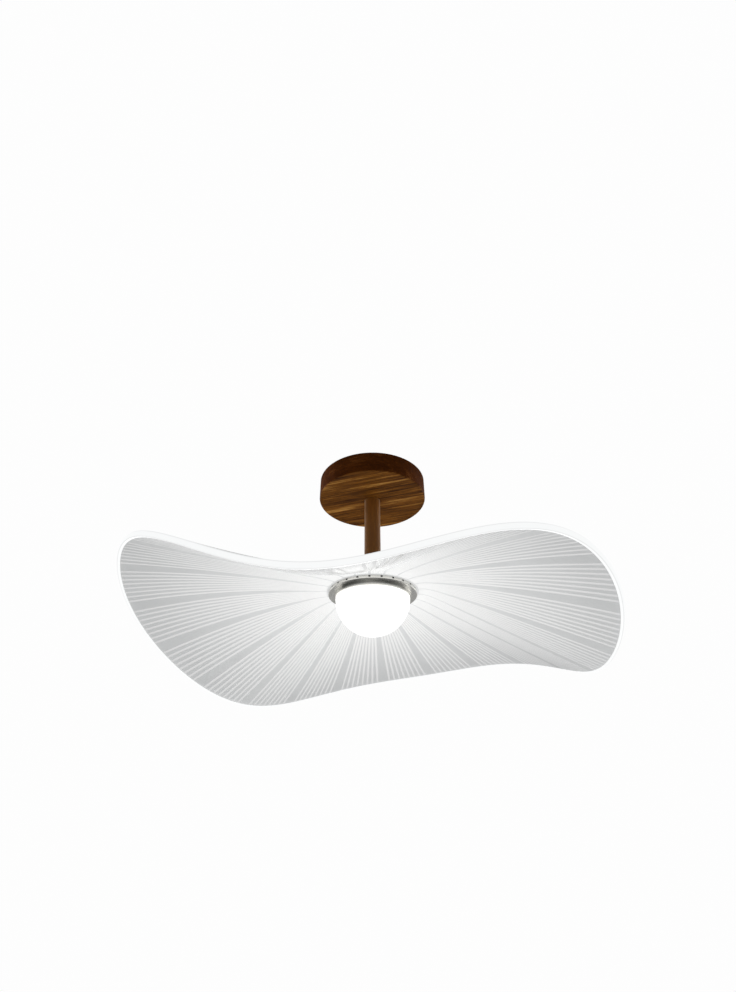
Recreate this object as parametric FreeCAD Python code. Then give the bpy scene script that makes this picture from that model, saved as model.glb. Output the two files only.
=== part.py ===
import FreeCAD, Part
import math
import os
from collections import namedtuple
from FreeCAD import Vector

# Semi-flush ceiling light with a formed acrylic shade that is lit through its edge.
# Millimetres and degrees. The origin is on the ceiling over the stem, +Z points up.

# Driving dimensions: shade
SHADE_R = 255.5            # acrylic disc before it is formed
SHADE_T = 5.0
SHADE_FLAT_R = 54.0        # middle of the sheet that stays flat
DISC_SHIFT = 5.0           # from the stem to the middle of the disc
DISC_SHIFT_AZIMUTH = 207.0
SHADE_FALL = 52.6          # mean fall of the edge below the middle
SHADE_BEND = 0.05          # softness of the bend beside the flat middle, as a share of the slope
TILT_HEIGHT = 7.2
TWO_LOBE_HEIGHT = 15.7
THREE_LOBE_HEIGHT = 24.2
FOUR_LOBE_HEIGHT = 8.0
FIVE_LOBE_HEIGHT = 2.9
SIX_LOBE_HEIGHT = 1.8
EDGE_WAVES = (             # lobes, height, azimuth of a crest
    (1, TILT_HEIGHT, 170.0),
    (2, TWO_LOBE_HEIGHT, 41.0),
    (3, THREE_LOBE_HEIGHT, -48.0),
    (4, FOUR_LOBE_HEIGHT, 32.5),
    (5, FIVE_LOBE_HEIGHT, 20.5),
    (6, SIX_LOBE_HEIGHT, -18.0),
)
TWO_LOBE_BULGE = 3.0
THREE_LOBE_BULGE = 2.9
BULGE_WAVES = (            # the same half way along the slope
    (2, TWO_LOBE_BULGE, -14.0),
    (3, THREE_LOBE_BULGE, -56.0),
)

# Driving dimensions: canopy and stem
CEILING_GAP = 0.5
CANOPY_R = 65.0
CANOPY_H = 26.0
CANOPY_WALL = 8.0
CANOPY_FLOOR_T = 6.0
CANOPY_EDGE_R = 1.2
INSERT_R = 3.5
STEM_R = 9.5
STEM_SHOWN = 93.5          # stem below the canopy
PIPE_R = 5.0
PIPE_BORE_R = 3.5
PIPE_END = 1.6             # pipe below its lower nut, a third of it above the upper one
STEM_WASHER_T = 1.0
NUT_H = 5.0
NUT_AF = 16.0

# Driving dimensions: ceiling plate and bridge
PLATE_CLEAR = 4.0          # from the plate's edge to the canopy's wall
PLATE_T = 2.0
SLOT_SPACING = 76.0
SLOT_W = 5.0
SLOT_LENGTH = 12.0
CABLE_HOLE_R = 8.0
CABLE_HOLE_X = 26.0
CABLE_HOLE_Y = -28.0
EAR_INSET = 3.0            # from the plate's edge to the ears' outer faces
EAR_W = 14.0
EAR_H = 12.0
BRIDGE_T = 1.5
BRIDGE_W = 20.0
BRIDGE_DROP = 16.0         # underside of the bridge below the ceiling
BRIDGE_LEG_X = 12.5
BRIDGE_FOOT = 9.5

# Driving dimensions: driver and terminal block
DRIVER_L = 56.0
DRIVER_W = 27.0
DRIVER_H = 13.0
DRIVER_WALL = 1.6
DRIVER_LUG = 6.0
DRIVER_OFF = 4.0           # from the bridge to the driver
LUG_T = 2.0
LUG_W = 8.0
BOARD_POST_H = 2.0
TRANSFORMER = (-0.3, 0.25, -0.6, 0.6)    # ends as shares of the board's half length and half width
CHIP = (0.45, 0.7, -0.3, 0.2)
CAPACITOR_PLACE = -0.6
CAPACITOR_SHARE = 0.4      # capacitor's radius as a share of the half width
TERMINAL_W = 16.0
TERMINAL_H = 11.0
TERMINAL_PITCH = 8.5
TERMINAL_POLES = 3
TERMINAL_OFF = 3.2         # from the bridge to the terminal block
TERMINAL_HOLE_R = 1.5
TERMINAL_GROOVE = 2.0      # depth of the grooves between poles
SLIT_SHARE = 0.2           # half width of a terminal screw's slit, as a share of its radius
EARTH_TAG_T = 1.0
EARTH_TAG_R = 4.4
EARTH_INSET = 0.4          # from the plate's edge to the earth tag
EARTH_BEND = 5.0
EARTH_RUN = 6.0            # along the plate, and then the same again down to the terminal block
WIRE_R = 1.1
WIRE_BEND = 9.0
WIRE_SPACING = 3.4
LAMP_LEAD_R = 1.6
LAMP_LEAD_BEND = 4.3

# Driving dimensions: swivel and upper housing
THRUST_T = 1.0
ROOF_T = 2.5
ROOF_R = 16.0
HOUSING_H = 20.0
HOUSING_WALL = 2.0
STOP_R = 12.0              # radius of the stop pin's circle
STOP_PIN_R = 1.25
STOP_TAB_W = 4.0
STOP_T = 1.2
WAVE_T = 1.0
HOUSING_FOOT_T = 2.0
DRUM_SCREWS = 3            # and as many for the LED board, between them
BOSS_R = 3.6
BOSS_H = 9.0
BOSS_INSET = 6.0           # from the drum's wall to the bosses

# Driving dimensions: lamp head under the shade
FLANGE_R = 49.2
FLANGE_T = 1.5
FLANGE_EDGE = 0.3
SKIRT_R = 42.8
SKIRT_T = 1.4
SKIRT_H = 4.2
COLLAR_H = 2.3
COLLAR_T = 1.6
COLLAR_INSET = 0.6         # collar inside the flange's edge
COLLAR_SLOTS = 24
COLLAR_SLOT_AZIMUTH = 10.4
COLLAR_SLOT_W = 2.2
COLLAR_SLOT_MARGIN = 0.3
SEAL_W = 2.7
DRUM_R = 35.5
DRUM_WALL = 3.5
DRUM_FLOOR_T = 4.0
DRUM_DEPTH = 9.2           # drum below the flange
LOCK_RING_T = 1.2
LOCK_RING_W = 1.8
LOCK_NOTCHES = 4
LOCK_NOTCH_W = 2.0
LOCK_NOTCH_AZIMUTH = 45.0
SHADE_GASKET_T = 1.0
SHADE_GASKET_W = 6.0

# Driving dimensions: dome and its three-start groove
DOME_R = 41.0
DOME_T = 3.0
DOME_NECK_H = 1.9          # straight wall over the bowl
DOME_GASKET_T = 1.3
DOME_PINS = 3
DOME_PIN_R = 1.25
DOME_TURN = 75.0           # turn that frees the dome
DOME_DROP = 9.0            # fall of the dome over that turn
GROOVE_DEPTH = 1.4
GROOVE_CLEAR = 0.25
PIN_RING_H = 3.0
PIN_RING_T = 1.25

# Driving dimensions: light sources
STRIP_T = 0.5
STRIP_LEDS = 44
BOARD_R = 30.0
BOARD_T = 1.6
BOARD_RINGS = ((0.27, 6), (0.5, 12), (0.9, 18))    # share of the board's radius, number of LEDs
BOARD_SCREW_R = 21.8
BOARD_SCREW_DEPTH = 0.7    # shares of the drum's floor
BOARD_HOLE_DEPTH = 0.8
LED_L = 3.5
LED_W = 2.8
LED_T = 0.8
SOCKET_L = 12.0
SOCKET_W = 9.0
SOCKET_H = 12.0
SOCKET_EDGE_R = 1.0
HEAD_LEAD_R = 0.8
LEAD_PAIR_X = 1.2
LEAD_REACH = 6.0           # from the socket to a lead's first bend
LEAD_CLIMB = 9.0           # run over which the strip's leads climb to it
LEAD_BEND = 4.0
LEAD_HOLE_R = 3.6
STRIP_HOLE_R = 2.4

# Clearances
FIT = 0.05                 # between pieces of one body
RUN = 0.1                  # turning on the pipe
CLEAR = 0.5                # sliding past each other
PAST = 1.0                 # how far a cutting shape reaches past a face
SAME = 1e-6                # two lengths this close are equal

# Levels, from the ceiling down
Z_PLATE = -PLATE_T
Z_CANOPY_RIM = -CEILING_GAP
Z_CANOPY = Z_CANOPY_RIM - CANOPY_H
Z_CANOPY_FLOOR = Z_CANOPY + CANOPY_FLOOR_T
Z_SET_SCREW = Z_PLATE - EAR_H / 2
Z_BRIDGE = -BRIDGE_DROP
Z_BRIDGE_TOP = Z_BRIDGE + BRIDGE_T
Z_STEM_TOP = Z_BRIDGE - STEM_WASHER_T
Z_STEM = Z_CANOPY - STEM_SHOWN
Z_ROOF_TOP = Z_STEM - THRUST_T - FIT
Z_ROOF = Z_ROOF_TOP - ROOF_T
Z_HOUSING = Z_ROOF_TOP - HOUSING_H
Z_SHADE_TOP = Z_HOUSING - SHADE_GASKET_T
Z_SHADE = Z_SHADE_TOP - SHADE_T
Z_COLLAR = Z_SHADE - COLLAR_H
Z_FLANGE = Z_COLLAR - FLANGE_T
Z_SKIRT = Z_FLANGE - SKIRT_H
Z_DRUM = Z_FLANGE - DRUM_DEPTH
Z_DRUM_FLOOR = Z_DRUM + DRUM_FLOOR_T
Z_DOME_RIM = Z_FLANGE - DOME_GASKET_T
Z_BOWL = Z_DOME_RIM - DOME_NECK_H
Z_PIN_RING_TOP = Z_DOME_RIM - CLEAR
Z_PIN = Z_PIN_RING_TOP - PIN_RING_H / 2

# Swivel stack under the housing's roof
Z_WAVE = Z_ROOF - FIT - WAVE_T
Z_STOP = Z_WAVE - STOP_T
Z_SWIVEL_NUT = Z_STOP - NUT_H
Z_PIPE = Z_SWIVEL_NUT - PIPE_END
Z_PIPE_NUT = Z_BRIDGE_TOP + NUT_H
Z_PIPE_TOP = Z_PIPE_NUT + PIPE_END / 3

# Radii that follow
SHADE_HOLE_R = DRUM_R + STRIP_T + LED_T + 2 * CLEAR
CAVITY_R = CANOPY_R - CANOPY_WALL
PLATE_R = CAVITY_R - PLATE_CLEAR
EAR_X = PLATE_R - EAR_INSET
COLLAR_R = FLANGE_R - COLLAR_INSET
NECK_R = DOME_R - DOME_T
DRUM_BORE_R = DRUM_R - DRUM_WALL
HOUSING_CONE_R = DRUM_BORE_R + HOUSING_WALL
DRUM_SCREW_R = DRUM_BORE_R - BOSS_R - BOSS_INSET


def around(count, first):
    """Azimuths of places spread evenly around the axis."""
    return [first + 360.0 / count * i for i in range(count)]


DRUM_SCREW_AZIMUTHS = around(DRUM_SCREWS, 0.0)
BOARD_SCREW_AZIMUTHS = around(DRUM_SCREWS, 180.0 / DRUM_SCREWS)
PIN_AZIMUTHS = around(DOME_PINS, 90.0)

# Screws, and their heads' rounding and cross recess as shares of the head
Screw = namedtuple("Screw", "head_r head_h shank_r")
M3 = Screw(2.8, 1.8, 1.5)
M4 = Screw(3.8, 2.4, 2.0)
HEAD_ROUND = 0.4
CROSS_REACH = 0.55
CROSS_WIDTH = 0.12
CROSS_DEPTH = 0.55


# Helpers

def at(radius, azimuth, z=0.0):
    angle = math.radians(azimuth)
    return Vector(radius * math.cos(angle), radius * math.sin(angle), z)


def cylinder(radius, z_low, z_high, x=0.0, y=0.0):
    return Part.makeCylinder(radius, z_high - z_low, Vector(x, y, z_low))


def tube(inner, outer, z_low, z_high):
    return cylinder(outer, z_low, z_high).cut(cylinder(inner, z_low - PAST, z_high + PAST))


def block(x_low, x_high, y_low, y_high, z_low, z_high):
    return Part.makeBox(x_high - x_low, y_high - y_low, z_high - z_low, Vector(x_low, y_low, z_low))


def turned(points):
    corners = [Vector(r, 0, z) for r, z in points]
    return Part.Face(Part.makePolygon(corners + corners[:1])).revolve(Vector(), Vector(0, 0, 1), 360)


def spun(shape, azimuth):
    copy = shape.copy()
    copy.rotate(Vector(), Vector(0, 0, 1), azimuth)
    return copy


def hexagon(across, z_low, z_high):
    corners = [at(across / math.sqrt(3), 60 * i, z_low) for i in range(6)]
    return Part.Face(Part.makePolygon(corners + corners[:1])).extrude(Vector(0, 0, z_high - z_low))


def merged(shapes):
    return shapes[0].fuse(shapes[1:]).removeSplitter()


def screw_up(size, x, y, z_seat, length):
    """Pan-head screw driven upwards, its head under z_seat, with a cross recess."""
    z_low = z_seat - size.head_h
    head = cylinder(size.head_r, z_low, z_seat, x, y)
    edge = [e for e in head.Edges if abs(e.BoundBox.ZMax - z_low) < SAME]
    head = head.makeFillet(size.head_h * HEAD_ROUND, edge)
    reach = size.head_r * CROSS_REACH
    slit = size.head_r * CROSS_WIDTH
    z_recess = z_low + size.head_h * CROSS_DEPTH
    for half_x, half_y in ((reach, slit), (slit, reach)):
        head = head.cut(block(x - half_x, x + half_x, y - half_y, y + half_y, z_low - PAST, z_recess))
    return head.fuse(cylinder(size.shank_r, z_seat, z_seat + length, x, y)).removeSplitter()


def wire(points, bends, radius):
    """Round wire along straight runs joined by tangent arcs, one bend radius for each inner point."""
    edges = []
    start = points[0]
    for i, bend in enumerate(bends):
        corner = points[i + 1]
        back = (points[i] - corner).normalize()
        on = (points[i + 2] - corner).normalize()
        half = back.getAngle(on) / 2
        reach = bend / math.tan(half)
        middle = corner + (back + on).normalize() * (bend / math.sin(half) - bend)
        edges.append(Part.LineSegment(start, corner + back * reach).toShape())
        edges.append(Part.Arc(corner + back * reach, middle, corner + on * reach).toShape())
        start = corner + on * reach
    edges.append(Part.LineSegment(start, points[-1]).toShape())
    section = Part.Wire(Part.makeCircle(radius, points[0], points[1] - points[0]))
    return Part.Wire(edges).makePipeShell([section], True, False)


# Ceiling plate, bridge and pipe

def ceiling_plate():
    plate = cylinder(PLATE_R, Z_PLATE, 0)
    for side in (-1, 1):
        inner = side * (EAR_X - PLATE_T)
        outer = side * EAR_X
        x_low, x_high = sorted((inner, outer))
        plate = plate.fuse(block(x_low, x_high, -EAR_W / 2, EAR_W / 2, Z_PLATE - EAR_H, 0))
        middle = side * SLOT_SPACING / 2
        half = (SLOT_LENGTH - SLOT_W) / 2
        plate = plate.cut(block(middle - half, middle + half, -SLOT_W / 2, SLOT_W / 2, Z_PLATE - PAST, PAST))
        for end in (-half, half):
            plate = plate.cut(cylinder(SLOT_W / 2, Z_PLATE - PAST, PAST, middle + end))
    plate = plate.cut(cylinder(CABLE_HOLE_R, Z_PLATE - PAST, PAST, CABLE_HOLE_X, CABLE_HOLE_Y))
    holes = [(x, y, M3) for x, y in small_screw_places()]
    holes += [(x, 0, M4) for x in bridge_screw_places()]
    holes += [(EARTH_X, EARTH_Y, M4)]
    for x, y, size in holes:
        plate = plate.cut(cylinder(size.shank_r + FIT, Z_PLATE - PAST, PAST, x, y))
    return plate.removeSplitter()


def bridge_screw_places():
    x = BRIDGE_LEG_X + BRIDGE_FOOT / 2
    return (-x, x)


def stem_bridge():
    half = BRIDGE_W / 2
    pieces = [block(-BRIDGE_LEG_X, BRIDGE_LEG_X, -half, half, Z_BRIDGE, Z_BRIDGE_TOP)]
    for side in (-1, 1):
        leg = sorted((side * (BRIDGE_LEG_X - BRIDGE_T), side * BRIDGE_LEG_X))
        foot = sorted((side * (BRIDGE_LEG_X - BRIDGE_T), side * (BRIDGE_LEG_X + BRIDGE_FOOT)))
        pieces.append(block(leg[0], leg[1], -half, half, Z_BRIDGE, Z_PLATE))
        pieces.append(block(foot[0], foot[1], -half, half, Z_PLATE - BRIDGE_T, Z_PLATE))
    bridge = merged(pieces).cut(cylinder(PIPE_R + FIT, Z_BRIDGE - PAST, Z_BRIDGE_TOP + PAST))
    for x in bridge_screw_places():
        bridge = bridge.cut(cylinder(M4.shank_r + FIT, Z_PLATE - BRIDGE_T - PAST, Z_PLATE + PAST, x))
    return bridge


def bridge_screws():
    seat = Z_PLATE - BRIDGE_T
    return Part.makeCompound([screw_up(M4, x, 0, seat, -seat - CLEAR) for x in bridge_screw_places()])


def lamp_pipe():
    return tube(PIPE_BORE_R, PIPE_R, Z_PIPE, Z_PIPE_TOP)


def pipe_nut():
    nut = hexagon(NUT_AF, Z_BRIDGE_TOP, Z_PIPE_NUT)
    return nut.cut(cylinder(PIPE_R + FIT, Z_BRIDGE - PAST, Z_PIPE_NUT + PAST))


def stem_washer():
    return tube(PIPE_R + FIT, STEM_R, Z_STEM_TOP, Z_BRIDGE)


def stem():
    return tube(PIPE_R + FIT, STEM_R, Z_STEM, Z_STEM_TOP)


def thrust_washer():
    return tube(PIPE_R + FIT, STEM_R, Z_STEM - THRUST_T, Z_STEM)


def wave_washer():
    return tube(PIPE_R + FIT, NUT_AF / 2, Z_WAVE, Z_WAVE + WAVE_T)


def stop_washer():
    tab = block(-STOP_R - STOP_PIN_R, 0, -STOP_TAB_W / 2, STOP_TAB_W / 2, Z_STOP, Z_WAVE)
    disc = cylinder(NUT_AF / 2, Z_STOP, Z_WAVE).fuse(tab).removeSplitter()
    return disc.cut(cylinder(PIPE_R + FIT, Z_STOP - PAST, Z_WAVE + PAST))


def swivel_nut():
    nut = hexagon(NUT_AF, Z_SWIVEL_NUT, Z_STOP)
    return nut.cut(cylinder(PIPE_R + FIT, Z_SWIVEL_NUT - PAST, Z_STOP + PAST))


# Driver, terminal block and wiring in the canopy

DRIVER_Y = BRIDGE_W / 2 + DRIVER_OFF
DRIVER_MID_Y = DRIVER_Y + DRIVER_W / 2
Z_DRIVER = Z_PLATE - DRIVER_H
Z_DRIVER_BOARD = Z_PLATE - DRIVER_WALL - BOARD_POST_H
TERMINAL_Y = -BRIDGE_W / 2 - TERMINAL_OFF
TERMINAL_END_Y = TERMINAL_Y - TERMINAL_POLES * TERMINAL_PITCH
Z_TERMINAL = Z_PLATE - TERMINAL_H
Z_WIRE = Z_PLATE - TERMINAL_H / 2
WIRE_END_X = -TERMINAL_W / 4
POLE_Y = [TERMINAL_Y - TERMINAL_PITCH * (i + 0.5) for i in range(TERMINAL_POLES)]
EARTH_Y = POLE_Y[-1]
EARTH_X = -math.sqrt((PLATE_R - EARTH_TAG_R - EARTH_INSET) ** 2 - EARTH_Y ** 2)
LINE_X = -DRIVER_L / 2 + DRIVER_WALL + WIRE_R + WIRE_SPACING
NEUTRAL_X = LINE_X - WIRE_SPACING


def small_screw_places():
    x = (DRIVER_L + DRIVER_LUG) / 2
    return ((-x, DRIVER_MID_Y), (x, DRIVER_MID_Y), (0.0, TERMINAL_END_Y - DRIVER_LUG / 2))


def driver_case():
    half = DRIVER_L / 2
    y_low, y_high = DRIVER_Y, DRIVER_Y + DRIVER_W
    z_low = Z_DRIVER + DRIVER_WALL
    lugs = block(-half - DRIVER_LUG, half + DRIVER_LUG, DRIVER_MID_Y - LUG_W / 2, DRIVER_MID_Y + LUG_W / 2,
                 Z_PLATE - LUG_T, Z_PLATE)
    case = block(-half, half, y_low, y_high, z_low, Z_PLATE).fuse(lugs)
    inner = half - DRIVER_WALL
    case = case.cut(block(-inner, inner, y_low + DRIVER_WALL, y_high - DRIVER_WALL,
                          z_low - PAST, Z_PLATE - DRIVER_WALL))
    for x, y in small_screw_places()[:2]:
        case = case.cut(cylinder(M3.shank_r + FIT, Z_PLATE - LUG_T - PAST, Z_PLATE + PAST, x, y))
    for x, y in board_post_places():
        case = case.fuse(cylinder(DRIVER_WALL, Z_DRIVER_BOARD, Z_PLATE - DRIVER_WALL / 2, x, y))
    return case.removeSplitter()


def board_post_places():
    x = DRIVER_L / 2 - 3 * DRIVER_WALL
    y = DRIVER_W / 2 - 3 * DRIVER_WALL
    return [(sx * x, DRIVER_MID_Y + sy * y) for sx in (-1, 1) for sy in (-1, 1)]


def driver_cover():
    half = DRIVER_L / 2
    return block(-half, half, DRIVER_Y, DRIVER_Y + DRIVER_W, Z_DRIVER, Z_DRIVER + DRIVER_WALL)


def driver_board():
    half_l = DRIVER_L / 2 - DRIVER_WALL - CLEAR
    half_w = DRIVER_W / 2 - DRIVER_WALL - CLEAR
    z_low = Z_DRIVER_BOARD - BOARD_T
    room = z_low - Z_DRIVER - DRIVER_WALL - CLEAR
    board = block(-half_l, half_l, DRIVER_MID_Y - half_w, DRIVER_MID_Y + half_w, z_low, Z_DRIVER_BOARD)
    pieces = [board]
    for ends, height in ((TRANSFORMER, room), (CHIP, room / 3)):
        x_low, x_high = [half_l * share for share in ends[:2]]
        y_low, y_high = [DRIVER_MID_Y + half_w * share for share in ends[2:]]
        pieces.append(block(x_low, x_high, y_low, y_high, z_low - height, z_low))
    capacitor_x = half_l * CAPACITOR_PLACE
    pieces.append(cylinder(half_w * CAPACITOR_SHARE, z_low - room, z_low, capacitor_x, DRIVER_MID_Y))
    return merged(pieces)


def small_screws():
    seat = Z_PLATE - LUG_T
    return Part.makeCompound([screw_up(M3, x, y, seat, -seat - CLEAR) for x, y in small_screw_places()])


def terminal_block():
    half = TERMINAL_W / 2
    body = block(-half, half, TERMINAL_END_Y, TERMINAL_Y, Z_TERMINAL, Z_PLATE)
    lug = block(-LUG_W / 2, LUG_W / 2, TERMINAL_END_Y - DRIVER_LUG, TERMINAL_END_Y, Z_PLATE - LUG_T, Z_PLATE)
    body = body.fuse(lug)
    for y in POLE_Y:
        start = Vector(-half - PAST, y, Z_WIRE)
        body = body.cut(Part.makeCylinder(TERMINAL_HOLE_R, TERMINAL_W + 2 * PAST, start, Vector(1, 0, 0)))
    for x, y in terminal_screw_places():
        body = body.cut(cylinder(TERMINAL_HOLE_R + FIT, Z_TERMINAL - PAST, Z_WIRE, x, y))
    for y in POLE_Y[1:]:
        y_low = y + TERMINAL_PITCH / 2 - CLEAR
        body = body.cut(block(-half - PAST, half + PAST, y_low, y_low + 2 * CLEAR,
                              Z_TERMINAL - PAST, Z_TERMINAL + TERMINAL_GROOVE))
    x, y = small_screw_places()[2]
    body = body.cut(cylinder(M3.shank_r + FIT, Z_PLATE - LUG_T - PAST, Z_PLATE + PAST, x, y))
    return body.removeSplitter()


def terminal_screw_places():
    return [(side * TERMINAL_W / 4, y) for side in (-1, 1) for y in POLE_Y]


def terminal_screws():
    screws = []
    for x, y in terminal_screw_places():
        body = cylinder(TERMINAL_HOLE_R, Z_TERMINAL + CLEAR, Z_WIRE - WIRE_R - FIT, x, y)
        slit = TERMINAL_HOLE_R * SLIT_SHARE
        half = TERMINAL_HOLE_R + PAST
        body = body.cut(block(x - half, x + half, y - slit, y + slit, Z_TERMINAL, Z_TERMINAL + 2 * CLEAR))
        screws.append(body)
    return Part.makeCompound(screws)


def earth_screw():
    seat = Z_PLATE - EARTH_TAG_T
    return screw_up(M4, EARTH_X, EARTH_Y, seat, -seat - CLEAR)


def earth_lead():
    z_end = Z_PLATE - WIRE_R - FIT
    tag_x = EARTH_X + EARTH_TAG_R
    points = [
        Vector(WIRE_END_X, EARTH_Y, Z_WIRE),
        Vector(tag_x + 2 * EARTH_RUN, EARTH_Y, Z_WIRE),
        Vector(tag_x + EARTH_RUN, EARTH_Y, z_end),
        Vector(tag_x - CLEAR, EARTH_Y, z_end),
    ]
    lead = wire(points, (EARTH_BEND, EARTH_BEND), WIRE_R)
    tag = cylinder(EARTH_TAG_R, Z_PLATE - EARTH_TAG_T, Z_PLATE, EARTH_X, EARTH_Y)
    tag = tag.cut(cylinder(M4.shank_r + FIT, Z_PLATE - EARTH_TAG_T - PAST, Z_PLATE + PAST, EARTH_X, EARTH_Y))
    return lead.fuse(tag)


def supply_lead(pole_y, driver_x):
    points = [
        Vector(WIRE_END_X, pole_y, Z_WIRE),
        Vector(driver_x, pole_y, Z_WIRE),
        Vector(driver_x, DRIVER_Y, Z_WIRE),
    ]
    return wire(points, (WIRE_BEND,), WIRE_R)


def lamp_lead():
    z_run = Z_PIPE_TOP + LAMP_LEAD_BEND
    points = [
        Vector(0, 0, Z_SOCKET_TOP),
        Vector(0, 0, z_run),
        Vector(0, DRIVER_Y, z_run),
    ]
    return wire(points, (LAMP_LEAD_BEND,), LAMP_LEAD_R)


# Canopy and its screws

INSERT_LENGTH = CANOPY_WALL - 2 * CLEAR


def across_wall(radius, x_low, x_high, side):
    start = Vector(side * x_low, 0, Z_SET_SCREW)
    return Part.makeCylinder(radius, x_high - x_low, start, Vector(side, 0, 0))


def canopy():
    body = cylinder(CANOPY_R, Z_CANOPY, Z_CANOPY_RIM)
    edge = [e for e in body.Edges if abs(e.BoundBox.ZMax - Z_CANOPY) < SAME]
    body = body.makeFillet(CANOPY_EDGE_R, edge)
    body = body.cut(cylinder(CAVITY_R, Z_CANOPY_FLOOR, PAST))
    body = body.cut(cylinder(STEM_R + CLEAR, Z_CANOPY - PAST, 0))
    for side in (-1, 1):
        body = body.cut(across_wall(INSERT_R + FIT, CAVITY_R - PAST, CANOPY_R + PAST, side))
    return body


def canopy_inserts():
    inserts = []
    for side in (-1, 1):
        bush = across_wall(INSERT_R, CAVITY_R + CLEAR, CAVITY_R + CLEAR + INSERT_LENGTH, side)
        inserts.append(bush.cut(across_wall(M4.shank_r + FIT, CAVITY_R - PAST, CANOPY_R + PAST, side)))
    return Part.makeCompound(inserts)


def canopy_set_screws():
    screws = []
    head_x = CAVITY_R + INSERT_LENGTH
    for side in (-1, 1):
        body = across_wall(M4.shank_r, EAR_X + RUN, head_x, side)
        key = hexagon(M4.shank_r, 0, M4.shank_r)
        key.rotate(Vector(), Vector(0, 1, 0), 90 * side)
        key.translate(Vector(side * (head_x - M4.shank_r + FIT), 0, Z_SET_SCREW))
        screws.append(body.cut(key))
    return Part.makeCompound(screws)


# Upper housing and what turns on the pipe

def upper_housing():
    inner_roof_r = ROOF_R - HOUSING_WALL
    inner_foot_r = HOUSING_CONE_R - HOUSING_WALL
    body = turned([
        (PIPE_R + RUN, Z_ROOF_TOP), (ROOF_R, Z_ROOF_TOP),
        (HOUSING_CONE_R, Z_HOUSING + HOUSING_FOOT_T), (FLANGE_R, Z_HOUSING + HOUSING_FOOT_T),
        (FLANGE_R, Z_HOUSING), (inner_foot_r, Z_HOUSING),
        (inner_roof_r, Z_ROOF), (PIPE_R + RUN, Z_ROOF),
    ])
    outside = turned([
        (0, Z_ROOF_TOP), (ROOF_R, Z_ROOF_TOP), (HOUSING_CONE_R, Z_HOUSING + HOUSING_FOOT_T),
        (HOUSING_CONE_R, Z_HOUSING), (0, Z_HOUSING),
    ])
    for azimuth in DRUM_SCREW_AZIMUTHS:
        place = at(DRUM_SCREW_R, azimuth)
        boss = cylinder(BOSS_R, Z_HOUSING, Z_HOUSING + BOSS_H + HOUSING_WALL, place.x, place.y)
        body = body.fuse(boss.common(outside))
    for azimuth in DRUM_SCREW_AZIMUTHS:
        place = at(DRUM_SCREW_R, azimuth)
        z_end = Z_HOUSING + BOSS_H - CLEAR
        body = body.cut(cylinder(M4.shank_r + FIT, Z_HOUSING - PAST, z_end, place.x, place.y))
    return body.removeSplitter()


def stop_pin():
    return cylinder(STOP_PIN_R, Z_STOP, Z_ROOF, STOP_R)


def shade_gasket():
    outer = FLANGE_R - 2 * COLLAR_INSET
    return tube(outer - SHADE_GASKET_W, outer, Z_SHADE_TOP, Z_HOUSING)


# Formed acrylic shade

AZIMUTH_STEPS = 48
SLOPE_STEPS = 12
SHARE_STEP = 1e-4          # small steps for the sheet's direction
AZIMUTH_STEP = 0.01


def waves(rows, azimuth):
    return sum(height * math.cos(math.radians(lobes * (azimuth - crest))) for lobes, height, crest in rows)


def slope_share(s):
    """Share of the fall at the share s of the slope's length: level at first, then straight."""
    def rise(x):
        return math.hypot(x, SHADE_BEND) - SHADE_BEND
    return rise(s) / rise(1.0)


def underside(s, azimuth):
    shift = DISC_SHIFT * math.cos(math.radians(azimuth - DISC_SHIFT_AZIMUTH))
    length = SHADE_R + shift - SHADE_FLAT_R
    edge_wave = waves(EDGE_WAVES, azimuth)
    radius = SHADE_FLAT_R + s * math.sqrt(length ** 2 - (SHADE_FALL - edge_wave) ** 2)
    share = slope_share(s)
    bulge = 4 * share * (1 - share) * waves(BULGE_WAVES, azimuth)
    return at(radius, azimuth, Z_SHADE - (SHADE_FALL - edge_wave) * share + bulge)


def upper_side(s, azimuth):
    along = underside(s + SHARE_STEP, azimuth) - underside(max(s - SHARE_STEP, 0.0), azimuth)
    around = underside(s, azimuth + AZIMUTH_STEP) - underside(s, azimuth - AZIMUTH_STEP)
    if s == 0:
        along.z = 0.0
    return underside(s, azimuth) + along.cross(around).normalize() * SHADE_T


def formed_face(side):
    """Smooth closed surface through rings of points from the flat middle to the edge."""
    shares = [(i / SLOPE_STEPS) ** 2 for i in range(SLOPE_STEPS + 1)]
    places = [i / SLOPE_STEPS for i in range(SLOPE_STEPS + 1)]
    turns = [i / AZIMUTH_STEPS for i in range(AZIMUTH_STEPS + 1)]
    rings = []
    for share in shares:
        ring = Part.BSplineCurve()
        points = [side(share, 360.0 * turn) for turn in turns[:-1]]
        ring.interpolate(Points=points, PeriodicFlag=True, Parameters=turns)
        rings.append(ring)
    columns = []
    for i in range(rings[0].NbPoles):
        column = Part.BSplineCurve()
        column.interpolate(Points=[ring.getPole(i + 1) for ring in rings], Parameters=places)
        columns.append(column)
    poles = [[column.getPole(i + 1) for column in columns] for i in range(columns[0].NbPoles)]
    surface = Part.BSplineSurface()
    surface.buildFromPolesMultsKnots(
        poles, columns[0].getMultiplicities(), rings[0].getMultiplicities(),
        columns[0].getKnots(), rings[0].getKnots(), False, True, columns[0].Degree, rings[0].Degree)
    return surface.toShape()


def closed_edges(face):
    """The inner and the outer edge of a formed face."""
    closed = [e for e in face.Edges if e.isClosed()]
    return sorted(closed, key=lambda e: e.Length)


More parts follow.
